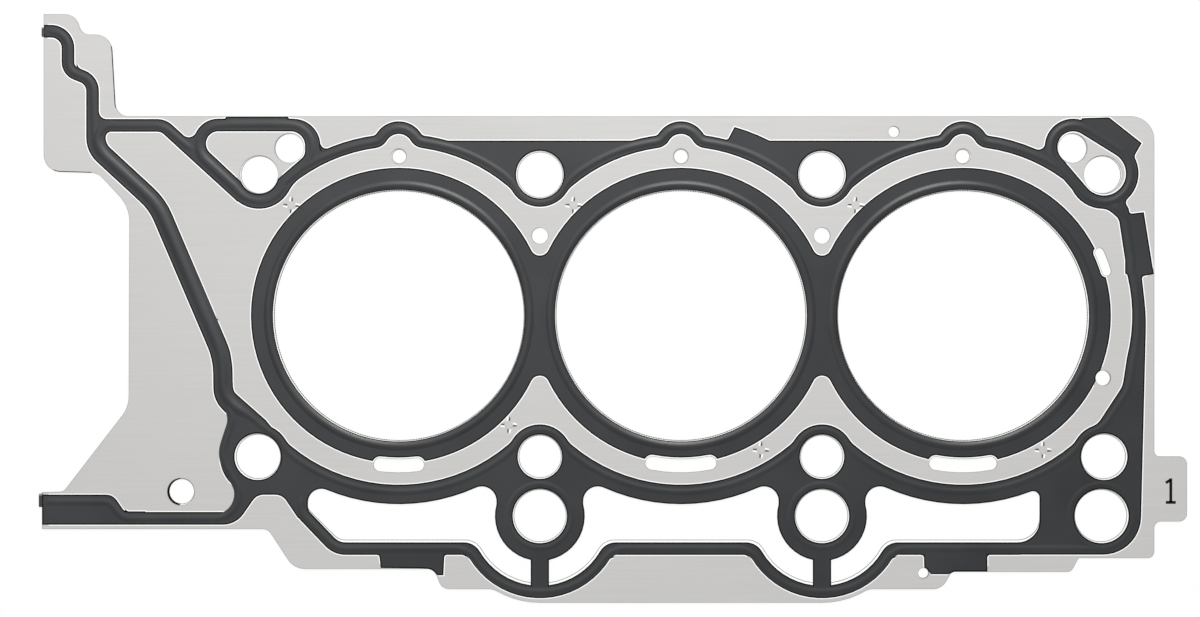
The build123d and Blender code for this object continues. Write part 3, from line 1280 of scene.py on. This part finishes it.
    def add(self, name: str, shape: SweptMesh, finish: str, smooth: bool = False) -> Object:
        """Makes a new piece of this name, shape and finish, shaded flat or smooth."""
        return self.finish(shape.piece(name, smooth), finish)

    def finish(self, piece: Object, finish: str) -> Object:
        """Gives a new piece its finish and lets it ride with the gasket.

        Args:
            piece: the piece.
            finish: the finish's name.

        Returns:
            The piece.
        """
        piece.data.materials.clear()
        piece.data.materials.append(self.finishes[finish])
        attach(piece, BODY)
        LOG.info("built %s, %d faces", piece.name, len(piece.data.polygons))
        return piece


# ---- Studio ----


@dataclass(frozen=True)
class Lamp:
    """A square lamp that points at the gasket; place and side in metres, power in watts."""

    name: str
    place: tuple[float, float, float]
    side: float
    power: float

    def hang(self) -> None:
        """Adds the lamp to the scene."""
        light = bpy.data.lights.new(self.name, "AREA")
        light.size = self.side
        light.energy = self.power
        lamp = bpy.data.objects.new(self.name, light)
        lamp.location = self.place
        lamp.rotation_mode = "QUATERNION"
        lamp.rotation_quaternion = (-Vector(self.place)).to_track_quat("-Z", "Y")
        lamp.visible_camera = False
        bpy.context.scene.collection.objects.link(lamp)


@dataclass
class Studio:
    """A white floor, soft lamps and a camera straight above."""

    pixel: float = 0.3829 * MM
    image_width: int = 1200
    image_height: int = 617
    origin_pixel: Point = (680.9, 315.6)
    lens: float = 85.0
    sensor: float = 36.0
    farthest: float = 100.0
    floor_level: float = -0.00078
    floor_size: float = 30.0
    floor_glow: float = 0.9
    surroundings: float = 0.5
    lamps: tuple[Lamp, ...] = (
        Lamp("key_lamp", (0.10, 0.82, 1.60), 0.4, 17.0),
        Lamp("fill_lamp", (-0.3, 0.5, 1.4), 1.2, 7.0),
    )

    def build(self) -> None:
        """Builds the floor, the lamps, the world and the camera."""
        bpy.context.scene.view_settings.view_transform = "Standard"
        self.add_floor()
        self.add_world()
        for lamp in self.lamps:
            lamp.hang()
        self.add_camera()

    def add_floor(self) -> None:
        """Adds a white floor that still takes a faint shadow."""
        bpy.ops.mesh.primitive_plane_add(size=self.floor_size, location=(0, 0, self.floor_level))
        floor = bpy.context.object
        floor.name = "floor"
        material = bpy.data.materials.new("white_floor")
        material.use_nodes = True
        builder, nodes = NodeBuilder(material.node_tree), material.node_tree.nodes
        shader = nodes["Principled BSDF"]
        builder.feed(shader, {"Base Color": (0.85, 0.85, 0.85, 1), "Roughness": 0.9, "Specular IOR Level": 0.0})
        rays = builder.node("LightPath", {}).outputs
        seen = rays["Is Camera Ray"]
        for ray in ("Is Glossy Ray", "Is Transmission Ray"):
            seen = builder.node("Math", {0: seen, 1: rays[ray]}, operation="MAXIMUM").outputs[0]
        share = builder.node("Math", {0: seen, 1: self.floor_glow}, operation="MULTIPLY").outputs[0]
        glow = builder.node("Emission", {}).outputs["Emission"]
        mix = builder.node("MixShader", {"Fac": share, 1: shader.outputs["BSDF"], 2: glow})
        builder.feed(nodes["Material Output"], {"Surface": mix.outputs["Shader"]})
        floor.data.materials.append(material)

    def add_world(self) -> None:
        """Adds a soft white surrounding."""
        world = bpy.data.worlds.new("studio")
        bpy.context.scene.world = world
        world.use_nodes = True
        background = world.node_tree.nodes["Background"]
        background.inputs["Color"].default_value = (1, 1, 1, 1)
        background.inputs["Strength"].default_value = self.surroundings

    def add_camera(self) -> None:
        """Adds the camera, straight above the middle of the picture."""
        x = (self.image_width / 2 - self.origin_pixel[0]) * self.pixel
        y = (self.origin_pixel[1] - self.image_height / 2) * self.pixel
        data = bpy.data.cameras.new("camera")
        data.lens = self.lens
        data.sensor_width = self.sensor
        data.clip_end = self.farthest
        distance = self.image_width * self.pixel * self.lens / self.sensor
        camera = bpy.data.objects.new("camera", data)
        camera.location = (x, y, distance)
        bpy.context.scene.collection.objects.link(camera)
        bpy.context.scene.camera = camera


def main() -> None:
    """Loads the frame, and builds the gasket's looks and the studio."""
    logging.basicConfig(level=logging.INFO)
    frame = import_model()
    Gasket(frame).build()
    Studio().build()


if __name__ == "__main__":
    main()
